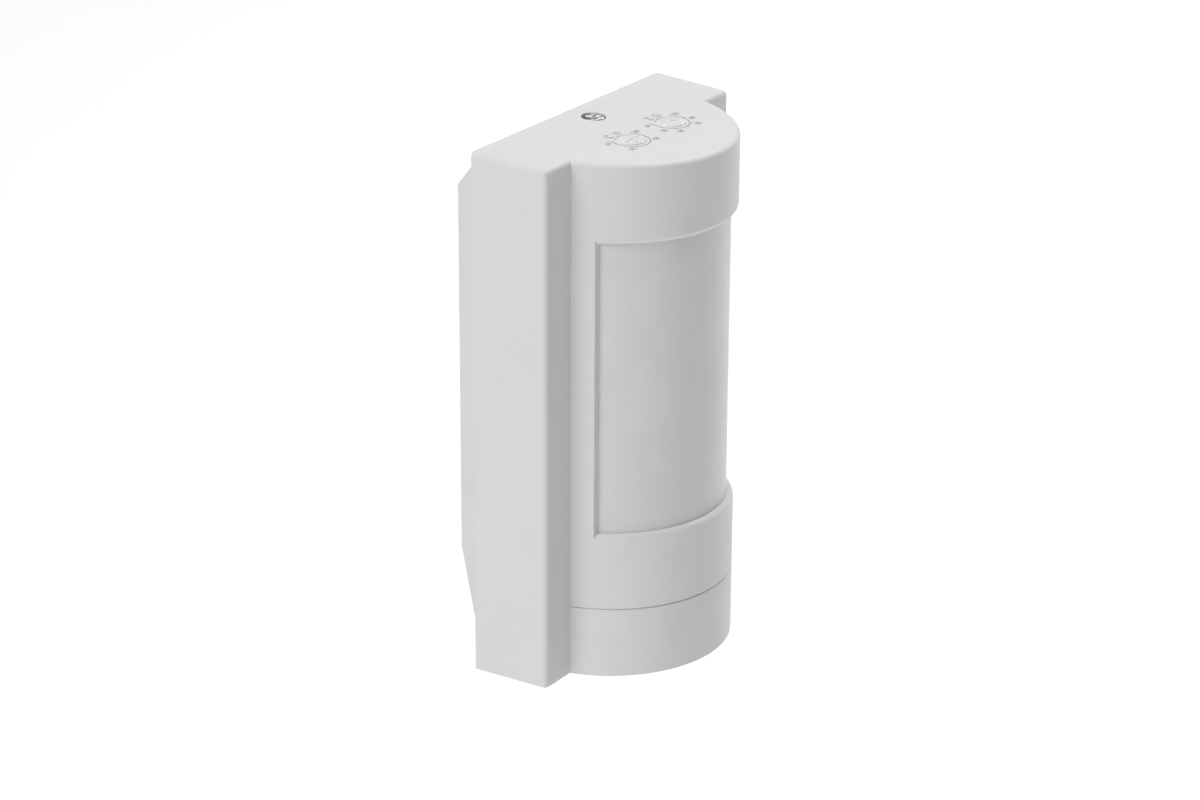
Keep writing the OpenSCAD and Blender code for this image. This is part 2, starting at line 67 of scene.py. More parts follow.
# heights that the CAD keeps relative to these nodes
SEAM = cap_hi.z - 3.6 * MM
WINDOW_LO = lens_lo.z + 4 * MM
WINDOW_HI = lens_hi.z - 3.6 * MM
WINDOW_Y = REAR - 25.5 * MM

# shape of the moulding
TOP_TILT = math.tan(math.radians(3.1))
BOTTOM_TILT = math.tan(math.radians(0.5))
SIDE_DRAFT = 0.0225
EDGE_R = 1.2 * MM
TOP_R = 1.2 * MM
BOTTOM_R = 0.35 * MM
SEAM_GAP = 0.14 * MM
SHELF_R = 0.2 * MM
LIP_R = 0.45 * MM
TONGUE_IN = 0.6 * MM
LEDGE_R = 1.5 * MM
BOX_WALL = 2.4 * MM
NOSE_WALL = 1.7 * MM
FLOOR_WALL = 2 * MM
MIN_BEND = 0.3 * MM
STRIP_GAP = 0.5 * MM

# steps of the curved stretches
SIDE_STEPS = 6
CORNER_STEPS = 7
STRIP_STEPS = 4
JOIN_STEPS = 4
NOSE_STEPS = 30
ROUND_STEPS = 6
HOLE_STEPS = 64
MERGE = 0.002 * MM
CREASE = 35


def top_at(y):
    return TOP + (y - REAR) * TOP_TILT


def bottom_at(y):
    return BOTTOM - (y - REAR) * BOTTOM_TILT


def half_width(y):
    return HALF_W - SIDE_DRAFT * (REAR - y)


def centre_of(node):
    lo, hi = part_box(node)
    return (lo + hi) / 2


# ---------------------------------------------------------------- outlines and skins
def nose_angle(radius, y):
    """Angle from the front at which a circle about the nose's axis meets the plane y."""
    return math.acos((AXIS_Y - y) / radius)


def nose_point(radius, angle):
    return radius * math.sin(angle), AXIS_Y - radius * math.cos(angle)


def nose_angles(radius, front):
    """Angles of the nose's columns from the right junction to the middle."""
    join = nose_angle(radius, front)
    edge = nose_angle(radius, WINDOW_Y)
    outer = [join + (edge - join) * k / JOIN_STEPS for k in range(JOIN_STEPS)]
    return outer + [edge * (1 - k / NOSE_STEPS) for k in range(NOSE_STEPS + 1)]


def mirrored(half):
    """A path from the right to the middle, made into one from the left to the right."""
    left = [(-x, y) for x, y in half]
    return left + half[-2::-1]


def cover_plan(side, nose, flat=False, pinned=False):
    """Outline of the cover's walls from the left rear corner round the front to the right.
    The box is drawn in by side and the nose by nose; flat leaves the nose out, and pinned
    keeps the corner between box and nose where the full nose has it."""
    front = FRONT + side
    bend = max(EDGE_R - side, MIN_BEND)
    centre_x = half_width(front) - side - bend
    centre_y = front + bend
    half = []
    for k in range(SIDE_STEPS):
        y = REAR + (centre_y - REAR) * k / SIDE_STEPS
        half.append((half_width(y) - side, y))
    for k in range(CORNER_STEPS + 1):
        a = math.pi / 2 * k / CORNER_STEPS
        half.append((centre_x + bend * math.cos(a), centre_y - bend * math.sin(a)))
    radius = NOSE_R - nose
    join_r = NOSE_R if pinned else radius
    join_x = join_r * math.sin(nose_angle(join_r, front))
    strip_end = join_x + STRIP_GAP
    for k in range(1, STRIP_STEPS + 1):
        half.append((centre_x + (strip_end - centre_x) * k / STRIP_STEPS, front))
    angles = nose_angles(radius, front)
    for k, a in enumerate(angles):
        if k == 0:
            half.append((join_x, front))
        elif flat:
            half.append((join_x * math.sin(a) / math.sin(angles[0]), front))
        else:
            half.append(nose_point(radius, a))
    return mirrored(half)


BOX_COLUMNS = SIDE_STEPS + CORNER_STEPS + 1 + STRIP_STEPS
FIRST_WINDOW = BOX_COLUMNS + JOIN_STEPS
COLUMNS = 2 * (FIRST_WINDOW + NOSE_STEPS)


def at_heights(plan, height):
    """Points of a plan at a height that may depend on y."""
    return [Vector((x, y, height(y) if callable(height) else height)) for x, y in plan]


def add_grid(bm, rows, keep=None):
    """Quads between rows of points; keep(column) says which columns of a strip are made."""
    made = [[bm.verts.new(p) for p in row] for row in rows]
    for low, high in zip(made, made[1:]):
        for c in range(len(low) - 1):
            if keep is None or keep(c):
                bm.faces.new((low[c], low[c + 1], high[c + 1], high[c]))


def add_face(bm, points):
    bm.faces.new([bm.verts.new(p) for p in points])


def add_cap(bm, outline, holes, normal):
    """A flat face with holes in it."""
    edges = []
    for loop in [outline, *holes]:
        verts = [bm.verts.new(p) for p in loop]
        edges += [bm.edges.new((verts[k], verts[(k + 1) % len(verts)])) for k in range(len(verts))]
    bmesh.ops.triangle_fill(bm, use_beauty=True, edges=edges, normal=normal)


def ring(x, y, radius, height):
    """Points of a circle at a height that may depend on y."""
    points = []
    for k in range(HOLE_STEPS):
        a = 2 * math.pi * k / HOLE_STEPS
        points.append((x + radius * math.cos(a), y + radius * math.sin(a)))
    return at_heights(points, height)


def add_tube(bm, rings):
    """Walls between closed rings of points."""
    made = [[bm.verts.new(p) for p in points] for points in rings]
    for low, high in zip(made, made[1:]):
        for k in range(len(low)):
            n = (k + 1) % len(low)
            bm.faces.new((low[k], low[n], high[n], high[k]))
    return made


def add_box(bm, lo, hi):
    made = bmesh.ops.create_cube(bm, size=1)["verts"]
    lo, hi = Vector(lo), Vector(hi)
    for v in made:
        v.co = Vector((v.co[k] + 0.5) * (hi[k] - lo[k]) + lo[k] for k in range(3))


# ---------------------------------------------------------------- objects
def link(name, data):
    obj = bpy.data.objects.new(name, data)
    bpy.context.scene.collection.objects.link(obj)
    return obj


def mark_edges(bm, crease):
    """Smooths the faces, and keeps the edges sharp that turn by more than crease, in degrees."""
    limit = math.radians(crease)
    for face in bm.faces:
        face.smooth = True
    for edge in bm.edges:
        edge.smooth = len(edge.link_faces) == 2 and edge.calc_face_angle(0) < limit


def even_shading(obj, weight=50):
    even = obj.modifiers.new("Even shading", "WEIGHTED_NORMAL")
    even.keep_sharp = True
    even.weight = weight


def mesh_piece(name, bm, merge=MERGE, crease=CREASE, weighted=True):
    """The finished mesh as an object: merged, with its normals outwards and sharp edges marked."""
    bmesh.ops.remove_doubles(bm, verts=bm.verts, dist=merge)
    bmesh.ops.dissolve_degenerate(bm, edges=bm.edges, dist=merge / 2)
    bmesh.ops.recalc_face_normals(bm, faces=bm.faces)
    mark_edges(bm, crease)
    mesh = bpy.data.meshes.new(name)
    bm.to_mesh(mesh)
    bm.free()
    obj = link(name, mesh)
    if weighted:
        even_shading(obj, weight=100)
    return obj


def finish_piece(obj, body, slot, replaced=()):
    """Gives a piece its finish, hides the CAD nodes it stands for and hangs it on the body it rides."""
    obj.data.materials.clear()
    obj.data.materials.append(MATERIALS[slot])
    if replaced:
        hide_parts(*replaced)
    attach(obj, body)


def shaped_mesh(obj):
    """A new mesh of what the object shows, with its modifiers in place."""
    bpy.context.view_layer.update()
    return bpy.data.meshes.new_from_object(obj.evaluated_get(bpy.context.evaluated_depsgraph_get()))


def cut_away(obj, cutter):
    """Takes the cutter's shape out of the object for good."""
    tool = obj.modifiers.new("Cut", "BOOLEAN")
    tool.object = cutter
    tool.solver = "EXACT"
    mesh = shaped_mesh(obj)
    obj.modifiers.clear()
    obj.data = mesh
    bpy.data.objects.remove(cutter)


# ---------------------------------------------------------------- materials
GLOSS_VARY = 0.06
FLAKE_DARK = 0.92
LIGHT_DEPTH = 0.6 * MM


def linear(colour):
    return tuple(c ** 2.2 for c in colour) + (1,)


def new_material(name):
    material = bpy.data.materials.new(name)
    material.use_nodes = True
    nodes = material.node_tree.nodes
    return material, nodes, material.node_tree.links, nodes["Principled BSDF"]


def grain(nodes, links, place, scale, detail=4):
    noise = nodes.new("ShaderNodeTexNoise")
    noise.inputs["Scale"].default_value = scale
    noise.inputs["Detail"].default_value = detail
    noise.inputs["Roughness"].default_value = 0.55
    links.new(place.outputs["Object"], noise.inputs["Vector"])
    return noise.outputs["Fac"]


def spread(nodes, links, value, low, high):
    """Maps a noise value, which is mostly between 0.3 and 0.7, onto the range from low to high."""
    node = nodes.new("ShaderNodeMapRange")
    node.inputs["From Min"].default_value = 0.3
    node.inputs["From Max"].default_value = 0.7
    node.inputs["To Min"].default_value = low
    node.inputs["To Max"].default_value = high
    links.new(value, node.inputs["Value"])
    return node.outputs["Result"]


def surface(name, colour, rough=0.5, vary=0.03, grain_mm=0.5, bump=0.02, metallic=0.0, coat=0.0,
            patch_mm=14, see_through=0.0, depth=0.0, flakes_mm=0):
    """A moulded, rubber, metal or coated surface with uneven colour, uneven gloss and fine relief.
    Flakes, if any, take the place of the patches and of the grain in the relief."""
    material, nodes, links, shader = new_material(name)
    place = nodes.new("ShaderNodeTexCoord")
    patches = grain(nodes, links, place, 1 / (patch_mm * MM))
    fine = grain(nodes, links, place, 1 / (grain_mm * MM), detail=3)
    base = linear(colour)
    relief_height, dark = fine, 1 - vary
    if flakes_mm:
        cells = nodes.new("ShaderNodeTexVoronoi")
        cells.inputs["Scale"].default_value = 1 / (flakes_mm * MM)
        links.new(place.outputs["Object"], cells.inputs["Vector"])
        relief_height, patches, dark = cells.outputs["Distance"], cells.outputs["Color"], FLAKE_DARK
    mix = nodes.new("ShaderNodeMix")
    mix.data_type = "RGBA"
    mix.inputs["A"].default_value = tuple(c * dark for c in base[:3]) + (1,)
    mix.inputs["B"].default_value = tuple(min(c * (1 + vary), 1) for c in base[:3]) + (1,)
    links.new(spread(nodes, links, patches, 0, 1), mix.inputs["Factor"])
    links.new(mix.outputs["Result"], shader.inputs["Base Color"])
    gloss = spread(nodes, links, fine, rough - GLOSS_VARY, rough + GLOSS_VARY)
    links.new(gloss, shader.inputs["Roughness"])
    relief = nodes.new("ShaderNodeBump")
    relief.inputs["Strength"].default_value = 1.0
    relief.inputs["Distance"].default_value = bump * MM
    links.new(relief_height, relief.inputs["Height"])
    links.new(relief.outputs["Normal"], shader.inputs["Normal"])
    shader.inputs["Metallic"].default_value = metallic
    shader.inputs["Coat Weight"].default_value = coat
    shader.inputs["Transmission Weight"].default_value = see_through
    if depth:
        shader.inputs["Subsurface Weight"].default_value = depth
        shader.inputs["Subsurface Radius"].default_value = (1, 1, 1)
        shader.inputs["Subsurface Scale"].default_value = LIGHT_DEPTH
    return material


FINISHES = {
    "white_shell": dict(rough=0.55, vary=0.012, grain_mm=0.35, bump=0.006),
    "base_plastic": dict(rough=0.55, vary=0.015, grain_mm=0.4, bump=0.008),
    "lens_sheet": dict(rough=0.42, vary=0.02, grain_mm=1.5, bump=0.01, depth=0.3),
    "inner_plastic": dict(rough=0.5, vary=0.02, grain_mm=0.5, bump=0.01),
    "dark_plastic": dict(rough=0.5, vary=0.1, grain_mm=0.4, bump=0.02),
    "seal_rubber": dict(rough=0.75, vary=0.15, grain_mm=0.6, bump=0.03),
    "zinc_steel": dict(rough=0.36, vary=0.06, grain_mm=0.3, bump=0.01, metallic=1.0),
    "screw_steel": dict(rough=0.36, vary=0.15, grain_mm=0.5, bump=0.02, metallic=0.85, patch_mm=0.8),
    "board": dict(rough=0.32, vary=0.12, grain_mm=1.2, bump=0.02, coat=0.4, patch_mm=3),
    "can_metal": dict(rough=0.16, vary=0.03, grain_mm=0.3, bump=0.004, metallic=1.0),
    "filter_glass": dict(rough=0.08, vary=0.05, grain_mm=0.6, bump=0.003, coat=0.6),
    "relay_blue": dict(rough=0.3, vary=0.05, grain_mm=0.5, bump=0.01),
    "film_yellow": dict(rough=0.3, vary=0.06, grain_mm=0.6, bump=0.015),
    "sleeve_black": dict(rough=0.28, vary=0.08, grain_mm=1.0, bump=0.01),
    "epoxy_blue": dict(rough=0.25, vary=0.1, grain_mm=0.8, bump=0.04),
    "ferrite": dict(rough=0.6, vary=0.12, grain_mm=0.2, bump=0.03),
    "chip_black": dict(rough=0.55, vary=0.1, grain_mm=0.15, bump=0.02),
    "ceramic": dict(rough=0.5, vary=0.08, grain_mm=0.3, bump=0.02),
    "cell_red": dict(rough=0.2, vary=0.12, grain_mm=0.5, bump=0.02, coat=0.5),
    "led_red": dict(rough=0.12, vary=0.05, grain_mm=0.5, bump=0.005, see_through=0.4),
    "pot_blue": dict(rough=0.35, vary=0.06, grain_mm=0.4, bump=0.01),
    "dial_plastic": dict(rough=0.3, vary=0.05, grain_mm=0.9, bump=0.07, depth=0.3, flakes_mm=0.9),
    "contact_brass": dict(rough=0.3, vary=0.08, grain_mm=0.3, bump=0.01, metallic=1.0),
    "mark_grey": dict(rough=0.6, vary=0.06, grain_mm=0.3, bump=0.005),
    "block_grey": dict(rough=0.5, vary=0.03, grain_mm=0.4, bump=0.01),
}
COLOURS = {m["slot"]: m["base_color"][:3] for m in frame["record"]["materials"]}
MATERIALS = {slot: surface(slot, COLOURS[slot], **look) for slot, look in FINISHES.items()}


# ---------------------------------------------------------------- front cover
def quarter():
    """Sine and cosine along a quarter turn."""
    angles = [math.pi / 2 * k / ROUND_STEPS for k in range(ROUND_STEPS + 1)]
    return [(math.sin(a), math.cos(a)) for a in angles]


def is_nose(column):
    return BOX_COLUMNS <= column < COLUMNS - BOX_COLUMNS


def not_window(column):
    return not FIRST_WINDOW <= column < COLUMNS - FIRST_WINDOW


def window_row(radius, z):
    """Points across the window opening; their ends lie in the plane of its side faces."""
    edge = nose_angle(radius, WINDOW_Y)
    row = []
    for k in range(-NOSE_STEPS, NOSE_STEPS + 1):
        x, y = nose_point(radius, edge * k / NOSE_STEPS)
        row.append(Vector((x, y, z)))
    return row


def open_ends(rows):
    """First and last points of the rows, as two upright lines."""
    return [row[0] for row in rows], [row[-1] for row in rows]


DIAL_NODES = ("lux_dial", "time_dial")
DIALS = {name: centre_of(name) for name in DIAL_NODES}
SCREW = centre_of("lock_screw")
DIAL_R = 3.5 * MM
BORE_R = DIAL_R + 0.08 * MM
RECESS_R = 2.95 * MM
RIM_R = 3.3 * MM
RIM_STEP = 0.07 * MM
RECESS_Z = top_at(SCREW.y) - 1.45 * MM
SCREW_HOLE_R = 1.58 * MM
SCREW_TURN = math.radians(36)
SOFT_EDGE = 0.06 * MM


def step_at(y):
    return top_at(y) - RIM_STEP


def inner_top(y):
    return top_at(y) - BOX_WALL


def inner_bottom(y):
    return bottom_at(y) + BOX_WALL


def build_cover():
    bm = bmesh.new()
    walls = cover_plan(0, 0)
    # outside, from the edge of the underside up to the seam, without the nose
    low = [at_heights(cover_plan(BOTTOM_R * (1 - s), 0, flat=True),
                      lambda y, c=c: bottom_at(y) + BOTTOM_R * (1 - c)) for s, c in quarter()]
    low.append(at_heights(cover_plan(0, 0, flat=True), SEAM))
    add_grid(bm, low)
    # the nose's underside and its softened lower edge
    shelf = [at_heights(cover_plan(0, SHELF_R * (1 - s), pinned=True), SEAM + SHELF_R * (1 - c))
             for s, c in quarter()]
    add_grid(bm, [low[-1], shelf[0]], keep=is_nose)
    add_grid(bm, shelf)
    # outside walls round the window, and the rounded upper edge
    mid = [shelf[-1], at_heights(walls, WINDOW_LO - LEDGE_R)]
    add_grid(bm, mid)
    beside = [mid[-1], at_heights(walls, WINDOW_HI + LEDGE_R)]
    add_grid(bm, beside, keep=not_window)
    above = [beside[-1]]
    above += [at_heights(cover_plan(TOP_R * (1 - c), TOP_R * (1 - c)),
                         lambda y, s=s: top_at(y) - TOP_R * (1 - s)) for s, c in quarter()]
    add_grid(bm, above)
    outside = low + shelf + mid[1:] + beside[1:] + above[1:]
    # inside walls
    inner_walls = cover_plan(BOX_WALL, NOSE_WALL)
    floor_z = SEAM + FLOOR_WALL
    in_low = [at_heights(cover_plan(BOX_WALL, NOSE_WALL, flat=True), z) for z in (inner_bottom, floor_z)]
    add_grid(bm, in_low)
    in_mid = [at_heights(inner_walls, z) for z in (floor_z, WINDOW_LO)]
    add_grid(bm, [in_low[-1], in_mid[0]], keep=is_nose)
    add_grid(bm, in_mid)
    in_beside = [in_mid[-1], at_heights(inner_walls, WINDOW_HI)]
    add_grid(bm, in_beside, keep=not_window)
    in_above = [in_beside[-1], at_heights(inner_walls, inner_top)]
    add_grid(bm, in_above)
    inside = in_low + in_mid + in_beside[1:] + in_above[1:]
    # rounded ledges under and over the window, and its flat side faces
    inner_r = NOSE_R - NOSE_WALL
    ledges = []
    for edge_z, away in ((WINDOW_LO, -1), (WINDOW_HI, 1)):
        ledge = [window_row(NOSE_R - LEDGE_R * (1 - c), edge_z + away * LEDGE_R * (1 - s))
                 for s, c in quarter()]
        ledge.append(window_row(inner_r, edge_z))
        add_grid(bm, ledge)
        ledges.append(ledge)
    for sill_end, lintel_end in zip(*map(open_ends, ledges)):
        add_face(bm, sill_end + lintel_end[::-1])
    # rim at the wall side
    out_l, out_r = open_ends(outside)
    in_l, in_r = open_ends(inside)
    add_face(bm, out_l + in_l[::-1])
    add_face(bm, out_r + in_r[::-1])
    for end in (0, -1):
        add_face(bm, [out_l[end], in_l[end], in_r[end], out_r[end]])
    # underside and top
    add_face(bm, low[0])
    add_face(bm, in_low[0])
    bores = [(c.x, c.y) for c in DIALS.values()]
    outer_rings = [ring(x, y, BORE_R + SOFT_EDGE, top_at) for x, y in bores]
    outer_rings.append(ring(SCREW.x, SCREW.y, RIM_R + SOFT_EDGE, top_at))
    inner_rings = [ring(x, y, BORE_R, inner_top) for x, y in bores]
    inner_rings.append(ring(SCREW.x, SCREW.y, SCREW_HOLE_R, inner_top))
    up = Vector((0, -TOP_TILT, 1)).normalized()
    add_cap(bm, above[-1], outer_rings, up)
    add_cap(bm, in_above[-1], inner_rings, -up)
    for (x, y), outer, inner in zip(bores, outer_rings, inner_rings):
        add_tube(bm, [outer, ring(x, y, BORE_R, lambda v: top_at(v) - SOFT_EDGE), inner])
    recess = [(RIM_R, step_at), (RECESS_R + SOFT_EDGE, step_at),
              (RECESS_R, lambda v: step_at(v) - SOFT_EDGE), (RECESS_R, RECESS_Z), (SCREW_HOLE_R, RECESS_Z)]
    steps = [ring(SCREW.x, SCREW.y, radius, height) for radius, height in recess]
    add_tube(bm, [outer_rings[-1], *steps, inner_rings[-1]])
    finish_piece(mesh_piece("front_cover_shell", bm), "front_unit", "white_shell", ["front_cover"])


TONGUE_TOP = SEAM - 0.01 * MM
CLIP_X = 14 * MM
CLIP_W = 4 * MM
CLIP_FOOT = BOTTOM + 2 * MM
CLIP_FRONT = FRONT - 5.8 * MM
CLIP_BACK = FRONT - 4.6 * MM


def build_cap():
    """The part of the nose below the seam: a cup that is open towards the box, with a tongue
    along its rim and two clips."""
    bm = bmesh.new()
    top = SEAM - SEAM_GAP
    inner_r = NOSE_R - NOSE_WALL

    def row(radius, height):
        join = nose_angle(radius, FRONT)
        points = [nose_point(radius, join * k / NOSE_STEPS) for k in range(-NOSE_STEPS, NOSE_STEPS + 1)]
        return at_heights(points, height)

    profile = [row(NOSE_R - BOTTOM_R * (1 - s), lambda y, c=c: bottom_at(y) + BOTTOM_R * (1 - c))
               for s, c in quarter()]
    profile += [row(NOSE_R - LIP_R * (1 - c), top - LIP_R * (1 - s)) for s, c in quarter()]
    tongue_r = NOSE_R - TONGUE_IN
    profile += [row(tongue_r, top), row(tongue_r, TONGUE_TOP), row(inner_r, TONGUE_TOP),
                row(inner_r, inner_bottom)]
    add_grid(bm, profile)
    add_face(bm, profile[0])
    add_face(bm, profile[-1])
    left, right = open_ends(profile)
    add_face(bm, left + right[::-1])
    for x in (-CLIP_X, CLIP_X):
        add_box(bm, (x - CLIP_W / 2, CLIP_FRONT, CLIP_FOOT), (x + CLIP_W / 2, CLIP_BACK, cap_hi.z))
    cap = mesh_piece("lower_cap_shell", bm)
    finish_piece(cap, "front_unit", "white_shell", ["lower_cap"])


def build_lens():
    """Curved sheet with shallow facets moulded into its inner side."""
    bm = bmesh.new()
    half = math.radians(68)
    columns = 17
    rows = 9
    sub = 6
    sheet_t = 0.6 * MM
    swell = 0.18 * MM

    def grid(radius_at):
        made = []
        for j in range(rows * sub + 1):
            v = j / (rows * sub)
            z = lens_lo.z + (lens_hi.z - lens_lo.z) * v
            made.append([])
            for i in range(columns * sub + 1):
                u = i / (columns * sub)
                x, y = nose_point(radius_at(i, j), -half + 2 * half * u)
                made[-1].append(Vector((x, y, z)))
        return made

    def faceted(i, j):
        a = math.sin(math.pi * (i % sub) / sub)
        b = math.sin(math.pi * (j % sub) / sub)
        return LENS_R - sheet_t + swell - swell * a * b

    outer = grid(lambda i, j: LENS_R)
    inner = grid(faceted)
    add_grid(bm, outer)
    add_grid(bm, inner)
    for end in (0, -1):
        add_grid(bm, [outer[end], inner[end]])
        add_grid(bm, [[r[end] for r in outer], [r[end] for r in inner]])
    lens = mesh_piece("lens_sheet_faceted", bm, crease=50, weighted=False)
    finish_piece(lens, "front_unit", "lens_sheet", ["lens"])


# ---------------------------------------------------------------- dials, scales and the locking screw
def lathe(bm, x, y, profile):
    """A body of revolution from (radius, z) pairs; the first and last lie on its axis."""
    add_tube(bm, [ring(x, y, r, z) for r, z in profile])


def cross_outline(arm, width):
    """Corners of a plus sign, anticlockwise."""
    a, w = arm / 2, width / 2
    return [(a, -w), (a, w), (w, w), (w, a), (-w, a), (-w, w), (-a, w), (-a, -w), (-w, -w), (-w, -a),
            (w, -a), (w, -w)]


def add_prism(bm, x, y, levels, turn=0.0):
    """A solid between outlines at rising heights: levels are (outline, z) pairs."""
    c, s = math.cos(turn), math.sin(turn)
    made = add_tube(bm, [[Vector((x + c * u - s * v, y + s * u + c * v, z)) for u, v in outline]
                         for outline, z in levels])
    bm.faces.new(made[0][::-1])
    bm.faces.new(made[-1])


def make_cutter(name, x, y, levels, turn=0.0):
    bm = bmesh.new()
    add_prism(bm, x, y, levels, turn)
    return mesh_piece(name, bm, weighted=False)


def remark_edges(obj):
    """Marks sharp edges and evens the shading after a cut."""
    bm = bmesh.new()
    bm.from_mesh(obj.data)
    mark_edges(bm, CREASE)
    bm.to_mesh(obj.data)
    bm.free()
    even_shading(obj)


def build_dial(node):
    """Stem, retaining flange and head, with a cross slot and a pointer notch in the head."""
    lo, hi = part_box(node)
    x, y = DIALS[node].x, DIALS[node].y
    stem_r, flange_r, flange_z, flange_t = 1.5 * MM, 4.3 * MM, lo.z + 4.2 * MM, 0.8 * MM
    top, soft = hi.z, 0.12 * MM
    bow = 0.3 * soft
    bm = bmesh.new()
    lathe(bm, x, y, [(0, lo.z), (stem_r, lo.z), (stem_r, flange_z), (flange_r, flange_z),
                     (flange_r, flange_z + flange_t), (DIAL_R, flange_z + flange_t), (DIAL_R, top - soft),
                     (DIAL_R - bow, top - bow), (DIAL_R - soft, top), (0, top)])
    dial = mesh_piece(node + "_knob", bm)
    slot_arm, slot_w, slot_flare, slot_depth = 3.4 * MM, 0.4 * MM, 0.5 * MM, 0.4 * MM
    slot = [(cross_outline(slot_arm, slot_w), top - slot_depth),
            (cross_outline(slot_arm + slot_flare, slot_w + slot_flare), top + MM)]
    cut_away(dial, make_cutter("slot", x, y, slot))
    half, far, near, notch_depth = 0.3 * MM, 4.2 * MM, 2.7 * MM, 0.5 * MM
    notch = [(-half, -far), (half, -far), (half, -near), (-half, -near)]
    cut_away(dial, make_cutter("notch", x, y, [(notch, top - notch_depth), (notch, top + MM)]))
    remark_edges(dial)
    finish_piece(dial, node, "dial_plastic", [node])


def build_lock_screw():
    """Pan head screw with a tapered cross recess."""
    lo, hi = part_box("lock_screw")
    x, y = SCREW.x, SCREW.y
    shank_r, head_r, rim, taper = 1.5 * MM, 2.75 * MM, 1.05 * MM, 0.12 * MM
    chamfer, clearance = 0.4 * MM, 0.05 * MM
    seat = RECESS_Z + clearance
    rim_z = seat + rim
    crown_r = head_r - taper
    profile = [(0, lo.z), (shank_r - chamfer, lo.z), (shank_r, lo.z + chamfer), (shank_r, seat),
               (head_r, seat), (crown_r, rim_z)]
    rise = hi.z - rim_z
    crown_steps, fullness = 8, 0.6
    for k in range(1, crown_steps):
        a = math.pi / 2 * k / crown_steps
        profile.append((crown_r * math.cos(a) ** fullness, rim_z + rise * math.sin(a)))
    profile.append((0, hi.z))
    bm = bmesh.new()
    lathe(bm, x, y, profile)
    screw = mesh_piece("lock_screw_head", bm)
    foot_arm, foot_w, mouth_arm, mouth_w, depth = 2.6 * MM, 0.3 * MM, 4.3 * MM, 1.5 * MM, 0.5 * MM
    levels = [(cross_outline(foot_arm, foot_w), hi.z - depth), (cross_outline(mouth_arm, mouth_w), hi.z)]
    cut_away(screw, make_cutter("recess", x, y, levels, turn=SCREW_TURN))
    remark_edges(screw)
    finish_piece(screw, "lock_screw", "screw_steel", ["lock_screw"])


ARC_W = 0.3 * MM
SIGN_W = 0.24 * MM
FINE_W = 0.22 * MM
MARK_RISE = 0.02 * MM
MARK_SINK = 0.1 * MM
SCALE_R = 4.6 * MM
TICK = 0.9 * MM
DIAL_TURN = 245
SIGN_X = 1.6 * MM
SIGN_Y = 4.95 * MM
SIGN_R = 1.0 * MM
NUMERAL_SIZE = 1.85 * MM
NUMERAL_DEPTH = 0.05 * MM
NUMERAL_BOLD = 0.045 * MM
NUMERAL_SINK = 0.02 * MM


def add_stroke(bm, points, width, closed=False):
    """A thin line of the scale along points in plan, let into the sloping top."""
    count = len(points)
    rings = []
    for k, (x, y) in enumerate(points):
        before = points[k - 1] if closed or k else points[k]
        after = points[(k + 1) % count] if closed or k + 1 < count else points[k]
        along = Vector((after[0] - before[0], after[1] - before[1])).normalized()
        side = Vector((-along.y, along.x)) * width / 2
        corners = [(x + side.x, y + side.y), (x - side.x, y - side.y)]
        tops = [Vector((u, v, top_at(v) + MARK_RISE)) for u, v in corners]
        lows = [Vector((u, v, top_at(v) - MARK_SINK)) for u, v in reversed(corners)]
        rings.append([bm.verts.new(p) for p in tops + lows])
    pairs = list(zip(rings, rings[1:])) + ([(rings[-1], rings[0])] if closed else [])
    for a, b in pairs:
        for k in range(4):
            n = (k + 1) % 4
            bm.faces.new((a[k], a[n], b[n], b[k]))
    if not closed:
        bm.faces.new(rings[0])
        bm.faces.new(rings[-1][::-1])


def arc(x, y, radius, start, end, steps):
    points = []
    for k in range(steps + 1):
        a = math.radians(start + (end - start) * k / steps)
        points.append((x + radius * math.cos(a), y + radius * math.sin(a)))
    return points


def add_ray(bm, x, y, near, far, angle, width):
    """A stroke that points away from x, y, from one radius to another."""
    c, s = math.cos(angle), math.sin(angle)
    add_stroke(bm, [(x + near * c, y + near * s), (x + far * c, y + far * s)], width)


def add_sun(bm, x, y, r):
    add_stroke(bm, arc(x, y, 0.5 * r, 0, 345, 23), SIGN_W, closed=True)
    for k in range(8):
        add_ray(bm, x, y, 0.75 * r, 1.1 * r, 2 * math.pi * k / 8, SIGN_W)


def add_moon(bm, x, y, r):
    outer = arc(x, y, r, 50, 310, 24)
    inner = arc(x + 0.45 * r, y, 0.82 * r, 290, 70, 18)
    add_stroke(bm, outer + inner[1:-1], SIGN_W, closed=True)


def add_clock(bm, x, y, r):
    add_stroke(bm, arc(x, y, r, 0, 350, 35), SIGN_W, closed=True)
    add_stroke(bm, [(x, y - 0.65 * r), (x, y), (x - 0.45 * r, y + 0.1 * r)], FINE_W)


def add_hourglass(bm, x, y, r):
    a = 0.75 * r
    for up in (-r, r):
        add_stroke(bm, [(x - a, y + up), (x + a, y + up)], FINE_W)
        add_stroke(bm, [(x - 0.9 * a, y - 0.9 * up), (x + 0.9 * a, y + 0.9 * up)], FINE_W)


def build_scale(name, node, ticks, signs):
    """Arc and ticks round a dial, with two signs behind it."""
    x, y = DIALS[node].x, DIALS[node].y
    start = 90 + (360 - DIAL_TURN) / 2
    bm = bmesh.new()
    add_stroke(bm, arc(x, y, SCALE_R, start, start + DIAL_TURN, 72), ARC_W)
    for k in range(ticks):
        a = math.radians(start + DIAL_TURN * k / (ticks - 1))
        add_ray(bm, x, y, SCALE_R + ARC_W / 2, SCALE_R + TICK, a, FINE_W)
    for add_sign, dx in zip(signs, (SIGN_X, -SIGN_X)):
        add_sign(bm, x + dx, y + SIGN_Y, SIGN_R)
    piece = mesh_piece(name, bm, merge=MERGE / 4, weighted=False)
    finish_piece(piece, "front_unit", "mark_grey")


